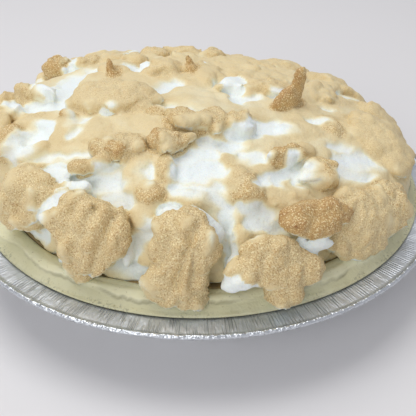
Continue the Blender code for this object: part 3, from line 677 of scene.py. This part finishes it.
def heap_point(angle, slope):
    """Points of the heap's surface: a superellipse in section, boxier on its high left side."""
    squareness = 2.86 - 0.62 * np.cos(np.radians(angle))
    along, up = np.cos(np.radians(slope)), np.sin(np.radians(slope))
    reach = ((along / heap_reach(angle)) ** squareness
             + (np.abs(up) / MERINGUE_RISE) ** squareness) ** (-1.0 / squareness)
    x = reach * along * np.cos(np.radians(angle))
    y = reach * along * np.sin(np.radians(angle))
    rise = np.where(up >= 0, reach * up, UNDERSIDE_DROP * up)
    rise = rise * (1.0 - TILT_RIGHT * x / MERINGUE_REACH - TILT_BACK * y / MERINGUE_REACH)
    return np.stack([x, y, MERINGUE_BASE_Z + rise], axis=-1)


def heap_under(points):
    """The points of the plain heap that these points lie on or over."""
    radius, angle = polar(points)
    tilt = 1.0 - (TILT_RIGHT * points[:, 0] + TILT_BACK * points[:, 1]) / MERINGUE_REACH
    rise = (points[:, 2] - MERINGUE_BASE_Z) / tilt
    over = np.degrees(np.arctan2(rise, radius))
    under = np.degrees(np.arcsin(np.clip(rise / UNDERSIDE_DROP, -1.0, 0.0)))
    return heap_point(np.degrees(angle), np.where(rise >= 0, over, under))


def from_stroke(row, feet):
    """How far these points of the plain heap are from a stroke across it."""
    start, end = heap_point(row.angle, row.slope), heap_point(row.to_angle, row.to_slope)
    run = end - start
    share = np.clip((feet - start) @ run / (run @ run), 0, 1)
    return np.linalg.norm(feet - start - share[:, None] * run, axis=1)


def heap_axes(angle, slope, turn=0.0):
    """A place on the heap and its three axes: across the slope, up it, and straight out."""
    spot = heap_point(angle, slope)
    across = heap_point(angle + 0.5, slope) - heap_point(angle - 0.5, slope)
    up = heap_point(angle, slope + 0.5) - heap_point(angle, slope - 0.5)
    across /= np.linalg.norm(across)
    out = np.cross(across, up)
    out /= np.linalg.norm(out)
    up = np.cross(out, across)
    cos, sin = np.cos(np.radians(turn)), np.sin(np.radians(turn))
    return spot, np.array([cos * across + sin * up, cos * up - sin * across, out])


def ball(subdivisions):
    """A mesh of a ball of radius 1, and its points."""
    shell = bmesh.new()
    bmesh.ops.create_icosphere(shell, subdivisions=subdivisions, radius=1.0)
    mesh = bpy.data.meshes.new("ball")
    shell.to_mesh(mesh)
    shell.free()
    return mesh, points_of(mesh)


def heap_points(unit):
    """The heap: the plain surface, sunk at the hollows and gently lumpy."""
    angle = np.degrees(polar(unit)[1])
    slope = np.degrees(np.arcsin(np.clip(unit[:, 2], -1, 1)))
    points = heap_point(angle, slope)
    inwards = np.array([0, 0, MERINGUE_BASE_Z]) - points
    inwards /= np.linalg.norm(inwards, axis=1)[:, None]
    lumpy = crumple(points, 24.0, 1) + 0.5 * billow(points, 11.0, 2) + 0.2 * crumple(points, 5.0, 5)
    sink = -HEAP_LUMPINESS * lumpy
    carved = np.zeros(len(points))
    for row in HOLLOWS + scattered_hollows() + ARCHES:
        away = from_stroke(row, points)
        carved = np.maximum(carved, row.depth * smooth_step(row.width * 0.5 + 3.0, row.width * 0.2, away))
    return points + inwards * (sink + carved)[:, None]


def dollop_points(row, unit, seed):
    """A ball squashed, folded, curled and drawn up into one dollop, set on the heap."""
    shape = SHAPES[row.shape]
    drift = np.stack([crumple(unit, 0.8, seed + 100 + axis) for axis in range(3)], axis=1)
    x, y, z = (unit + 0.9 * shape.rough * drift).T
    round_it = np.arctan2(y, x)
    flat = np.hypot(x, y)
    lobes = 1 + shape.lobe_depth * np.cos(shape.lobes * (round_it + np.pi / 2)) * flat ** 2
    narrow = 1 - shape.taper * smooth_step(-0.2, 1.0, -y)
    drawn = shape.point * smooth_step(0.0, 1.0, z)
    skin = 1 + shape.rough * (billow(unit, 0.55, seed) + 0.4 * billow(unit, 0.26, seed + 50))
    grooves = np.abs(np.sin(4.4 * x + 1.3 * y + seed)) - 0.7
    fold = shape.folds * grooves * smooth_step(0.9, -0.2, y) * smooth_step(-0.2, 0.5, z)
    wide = row.width / 2 * x * lobes * narrow * skin * (1 - 0.5 * drawn) + 0.25 * row.thick * drawn
    long = row.length / 2 * y * lobes * skin * (1 - 0.5 * drawn)
    high = row.thick / 2 * (z * skin * (1 + 0.9 * drawn) + fold + shape.curl * (flat ** 2 - 0.4))
    lean = np.radians(row.lean)
    local = np.stack([
        wide,
        long * np.cos(lean) + high * np.sin(lean),
        high * np.cos(lean) - long * np.sin(lean) + row.off,
    ], axis=-1)
    spot, axes = heap_axes(row.angle, row.slope, row.turn)
    return spot + local @ axes


def scattered_dollops():
    """Dollops by rule: big ones round the back of the rim, and small ones on the heap there."""
    chance = np.random.default_rng(7)
    rows = []
    for angle in np.linspace(RIM_DOLLOPS_FROM, RIM_DOLLOPS_TO, RIM_DOLLOPS):
        rows.append(Dollop(angle + chance.uniform(-5, 5), chance.uniform(6, 16), chance.uniform(30, 44),
                           chance.uniform(34, 46), chance.uniform(13, 17), chance.uniform(-3, 1),
                           chance.uniform(0, 8), chance.uniform(-20, 20),
                           chance.choice(["drape", "fan", "mound"]), 0.57))
    for _ in range(CROWN_DOLLOPS):
        rows.append(Dollop(chance.uniform(10, 150), chance.uniform(18, 60), chance.uniform(16, 34),
                           chance.uniform(12, 22), chance.uniform(6, 9), chance.uniform(-1, 0.5),
                           chance.uniform(0, 15), chance.uniform(-60, 60),
                           chance.choice(["rough", "mound", "flap"]), 0.54))
    return rows


def scattered_hollows():
    """Hollows by rule over the back of the heap, and between the dollops of its rim."""
    chance = np.random.default_rng(12)
    rows = []
    for angle in np.linspace(RIM_DOLLOPS_FROM, RIM_DOLLOPS_TO, 2 * RIM_DOLLOPS - 1)[3:-2:2]:
        rows.append(Hollow(angle, -6, angle + chance.uniform(-4, 4), chance.uniform(12, 22),
                           chance.uniform(8, 13), 3.5))
    for _ in range(BACK_HOLLOWS):
        angle, slope = chance.uniform(55, 155), chance.uniform(12, 26)
        rows.append(Hollow(angle, slope, angle + chance.uniform(-14, 14), slope + chance.uniform(-7, 7),
                           chance.uniform(6, 14), 2))
    return rows


def heaped_mesh(rows):
    """Heap and dollops in one mesh, still as separate overlapping shells."""
    joined = bmesh.new()
    mesh, unit = ball(7)
    mesh.vertices.foreach_set("co", (heap_points(unit) * MM).ravel())
    joined.from_mesh(mesh)
    for seed, row in enumerate(rows):
        mesh, unit = ball(5 if row.width > 20 else 4)
        mesh.vertices.foreach_set("co", (dollop_points(row, unit, seed) * MM).ravel())
        joined.from_mesh(mesh)
    mesh = bpy.data.meshes.new("meringue_heap")
    joined.to_mesh(mesh)
    joined.free()
    return mesh


def moved_out(line, gap):
    """A line of (radius, height) points that runs inwards, moved upwards by the gap."""
    runs = np.diff(np.array(line), axis=0)
    sides = np.stack([runs[:, 1], -runs[:, 0]], axis=1) / np.linalg.norm(runs, axis=1)[:, None]
    corners = np.concatenate([sides[:1], sides[:-1] + sides[1:], sides[-1:]])
    corners /= (corners ** 2).sum(axis=1)[:, None] ** 0.5
    return [tuple(point) for point in np.array(line) + gap * corners]


def bed_profile():
    """Everything that the meringue lies on, with the gap: filling, pastry edge, flange."""
    edge = [(PASTRY_EDGE_RADIUS, TIN_DEPTH + 1.5)] + pastry_top() + [(PASTRY_LIP_RADIUS, FILLING_RIM_TOP)]
    flange_top = TIN_DEPTH + 0.6 + CRIMP_DEPTH + GAP
    outer = [(BED_REACH, 0.0), (BED_REACH, BED_RIM_Z), (TIN_RADIUS + 0.6, BED_RIM_Z),
             (TIN_RADIUS - 3.5, flange_top + 0.2), (PASTRY_EDGE_RADIUS + 1.5, flange_top)]
    inner = [(PASTRY_LIP_RADIUS - 1.2, FILLING_RIM_TOP + GAP),
             (PASTRY_LIP_RADIUS - 6.0, FILLING_TOP + GAP), (0, FILLING_TOP + GAP)]
    return [(0, 0.0)] + outer + moved_out(edge, 1.3 * GAP) + inner


def bed_wave(points):
    """The bed follows the pastry edge's rise and fall."""
    radius, angle = polar(points)
    on_top = (radius > PASTRY_LIP_RADIUS - 2.0) & (points[:, 2] > TIN_DEPTH + 1.5)
    points[:, 2] += on_top * lip_wave(angle) * smooth_step(PASTRY_LIP_RADIUS, PASTRY_CROWN_RADIUS, radius)
    return points


def largest_body(mesh):
    """Leaves only the shell of the mesh that has the most points."""
    shell = bmesh.new()
    shell.from_mesh(mesh)
    left, bodies = set(shell.verts), []
    while left:
        body, edge = set(), [left.pop()]
        while edge:
            corner = edge.pop()
            body.add(corner)
            for link in corner.link_edges:
                other = link.other_vert(corner)
                if other in left:
                    left.discard(other)
                    edge.append(other)
        bodies.append(body)
    keep = max(bodies, key=len)
    loose = [corner for corner in shell.verts if corner not in keep]
    bmesh.ops.delete(shell, geom=loose, context="VERTS")
    shell.to_mesh(mesh)
    shell.free()


def baked(mesh, modifiers):
    """The mesh with these modifiers applied, each given as its kind and settings."""
    piece = bpy.data.objects.new("working", mesh)
    bpy.context.scene.collection.objects.link(piece)
    for kind, settings in modifiers:
        modifier = piece.modifiers.new(kind.lower(), kind)
        for key, value in settings.items():
            setattr(modifier, key, value)
    bpy.context.view_layer.update()
    made = bpy.data.meshes.new_from_object(piece.evaluated_get(bpy.context.evaluated_depsgraph_get()))
    bpy.data.objects.remove(piece)
    return made


def normals_of(mesh):
    flat = np.empty(len(mesh.vertices) * 3)
    mesh.vertex_normals.foreach_get("vector", flat)
    return flat.reshape(-1, 3)


def browning(points, normals, rows):
    """How brown the meringue is at each point, from 0 for white to 1 for dark.

    A thick dollop covers the white of the hollows that it lies on. A scorched one is brown out
    to its edges, and keeps its colour over a hollow, as the flaps and leaves do.
    """
    warp = np.stack([crumple(points, 5.0, seed) for seed in (31, 32, 33)], axis=1)
    feet = heap_under(points + 2.0 * warp)
    brown = 0.49 + 0.14 * crumple(points, 30.0, 34) + 0.10 * crumple(points, 9.0, 35)
    pale = np.zeros(len(points))
    soft = 1.9 + 3.0 * smooth_step(0.0, 0.35, crumple(points, 20.0, 36))
    for row in HOLLOWS + scattered_hollows():
        away = from_stroke(row, feet)
        edge = row.width * 0.5 + 0.3
        pale = np.maximum(pale, smooth_step(edge + soft, edge - soft, away))
    for row in sorted(rows, key=lambda row: (row.brown < 0.1, row.thick)):
        if row.thick >= COVERING_THICKNESS:
            brown = brown * (1 - pale)
            pale = 0 * pale
        spot, axes = heap_axes(row.angle, row.slope, row.turn)
        local = (points - spot - row.off * axes[2]) @ axes.T
        tall = max(row.thick, 5.0) * (1 + 0.8 * SHAPES[row.shape].point)
        scorched = row.brown > SCORCHED_FROM
        size = np.array([row.width, row.length, tall]) / 2 + (3.2 if scorched else 1.6)
        near = np.sqrt(((local / size) ** 2).sum(axis=1))
        on_it = smooth_step(1.16, 0.98, near + 0.06 * warp[:, 0])
        brown = brown + on_it * (row.brown - brown)
        pale = pale * (1 - on_it * (row.shape in ("flap", "leaf") or scorched))
    return np.clip(brown * smooth_step(-0.85, -0.25, normals[:, 2] + 0.2 * warp[:, 1]), 0, 1)


rows = DOLLOPS + scattered_dollops()
bed = bpy.data.objects.new("bed_cutter", turned("bed_cutter", bed_profile(), BED_STEPS, bed_wave))
bpy.context.scene.collection.objects.link(bed)
mesh = baked(heaped_mesh(rows), [
    ("REMESH", {"mode": "VOXEL", "voxel_size": VOXEL * MM}),
    ("SMOOTH", {"factor": 0.5, "iterations": 3}),
])
points, normals = points_of(mesh) / MM, normals_of(mesh)
toast = browning(points, normals, rows)
crust = smooth_step(0.12, 0.42, toast)
feet = heap_under(points)
proud = smooth_step(2.0, 6.0, ((points - feet) * normals).sum(axis=1))
rugged = 0.45 + 0.55 * smooth_step(0.56, 0.61, toast)
lumps = (0.7 * billow(points, 7.5, 45) - 0.6 * billow(points, 5.0, 46) - 0.9 * billow(points, 12.0, 49)
         + 0.45 * billow(points, 3.2, 41) + 0.25 * billow(points, 1.9, 42))
swell = crust * (1.0 + rugged * lumps)
folds = np.abs(crumple(points * [1.0, 1.0, 0.45], 9.0, 47))
deep = 0.25 + 0.75 * smooth_step(-0.3, 0.25, crumple(points, 34.0, 89))
swell += proud * crust * deep * rugged * (1.8 * smooth_step(0.0, 0.35, folds) - 1.2)
swell += (1 - crust) * (0.32 * billow(points, 6.0, 43) + 0.15 * billow(points, 2.6, 44))
creased = 0 * swell
for row in CREASES:
    away = from_stroke(row, feet)
    creased = np.maximum(creased, row.depth * smooth_step(row.width * 0.5 + 1.5, 0.0, away))
swell -= proud * creased
points += normals * swell[:, None]
mesh.vertices.foreach_set("co", (points * MM).ravel())
mesh = baked(mesh, [("BOOLEAN", {"operation": "DIFFERENCE", "solver": "MANIFOLD", "object": bed})])
bpy.data.objects.remove(bed)
largest_body(mesh)

points, normals = points_of(mesh) / MM, normals_of(mesh)
relaxed = points_of(baked(mesh.copy(), [("SMOOTH", {"factor": 0.8, "iterations": 12})])) / MM
stands_out = ((points - relaxed) * normals).sum(axis=1)
toast = browning(points, normals, rows)
paint(mesh, "browning", toast, np.clip(0.5 + 0.5 * stands_out, 0, 1))
mesh.shade_smooth()

meringue, shader, place = new_finish("baked_meringue")
toast_level, crag_level = painted(place, "browning")
specks = place.grain(1000.0, 2.0, 0.65)
bubbles = place.grain(520.0, 2.0, 0.6)
mottle = place.grain(85.0, 3.0)
crusty = ((toast_level - 0.55) * 14.0).limited() * 0.85 + 0.15
level = toast_level + (mottle - 0.5) * 0.14 * toast_level + (crag_level - 0.5) * 0.34 * toast_level
level = level + (specks - 0.5) * 0.4 * toast_level * (0.4 + 0.6 * crusty)
colour = level.node("ValToRGB", {"stops": [
    (0.00, seen(237, 244, 243)), (0.16, seen(240, 243, 234)), (0.30, seen(236, 229, 198)),
    (0.48, seen(228, 211, 168)), (0.64, seen(219, 196, 148)), (0.80, seen(204, 170, 114)),
    (1.00, seen(168, 122, 74)),
]}, {0: level})
# Partly painted highlights: the bright specks are pale sugar crystals, with the glints of light on them
# painted in as colour.
grains = place.grain(1900.0, 1.0)
crystals_and_glints = ((grains - 0.56) * 9.0).limited() * crusty
colour = (crystals_and_glints * 0.8).blend(colour, seen(252, 238, 192))
scorched = ((0.43 - grains) * 9.0).limited() * crusty
colour = (scorched * 0.75).blend(colour, seen(172, 132, 84))
feed(shader, colour, "Base Color")
feed(shader, 0.50 + 0.25 * specks, "Roughness")
set_steady(shader, {"Subsurface Weight": 0.25, "Subsurface Radius": (1.0, 0.85, 0.65),
                    "Subsurface Scale": 0.0025, "Specular IOR Level": 0.3})
raise_surface(shader, specks * (0.35 + 0.75 * crusty) + 0.6 * bubbles, 0.0006)

placed("meringue_top", mesh, meringue, "meringue")

# Floor, light and camera
# A plain pale floor, one broad soft light overhead, a weaker one from the front, and the camera
# at the height and distance that fit the tin's round edge.

LIGHT_AIM = (0, 0, 0.05)
LIGHT_SIZE = 0.9
LOOK_DOWN = 34.0
FOCAL_PIXELS = 600.0
FRAME_PIXELS = 416.0
CAMERA_PLACE = (0.00436, -0.27872, 0.19386)

floor_shell = bmesh.new()
bmesh.ops.create_grid(floor_shell, x_segments=1, y_segments=1, size=4.0)
floor_mesh = bpy.data.meshes.new("floor")
floor_shell.to_mesh(floor_mesh)
floor_shell.free()
floor = bpy.data.objects.new("floor", floor_mesh)
bpy.context.scene.collection.objects.link(floor)
surface, shader, place = new_finish("pale_floor")
set_steady(shader, {"Base Color": (*seen(226, 224, 224), 1.0), "Roughness": 0.6})
floor_mesh.materials.append(surface)


def add_light(name, spot, power):
    """A square area light at this spot, in metres, turned towards the pie."""
    lamp = bpy.data.lights.new(name, "AREA")
    lamp.size = LIGHT_SIZE
    lamp.energy = power
    holder = bpy.data.objects.new(name, lamp)
    holder.location = spot
    holder.rotation_euler = (Vector(LIGHT_AIM) - Vector(spot)).to_track_quat("-Z", "Y").to_euler()
    bpy.context.scene.collection.objects.link(holder)


add_light("ceiling_light", (-0.25, 0.25, 1.3), 9.2)
add_light("front_light", (-0.6, -1.25, 0.8), 8.0)

world = bpy.data.worlds.new("studio")
world.use_nodes = True
world.node_tree.nodes["Background"].inputs["Color"].default_value = (0.93, 0.94, 1.0, 1.0)
world.node_tree.nodes["Background"].inputs["Strength"].default_value = 0.45
bpy.context.scene.world = world

lens = bpy.data.cameras.new("camera")
lens.sensor_width = 36.0
lens.lens = FOCAL_PIXELS / FRAME_PIXELS * lens.sensor_width
camera = bpy.data.objects.new("camera", lens)
camera.location = CAMERA_PLACE
camera.rotation_euler = (np.radians(90.0 - LOOK_DOWN), 0.0, 0.0)
bpy.context.scene.collection.objects.link(camera)
bpy.context.scene.camera = camera
bpy.context.scene.view_settings.view_transform = "Standard"
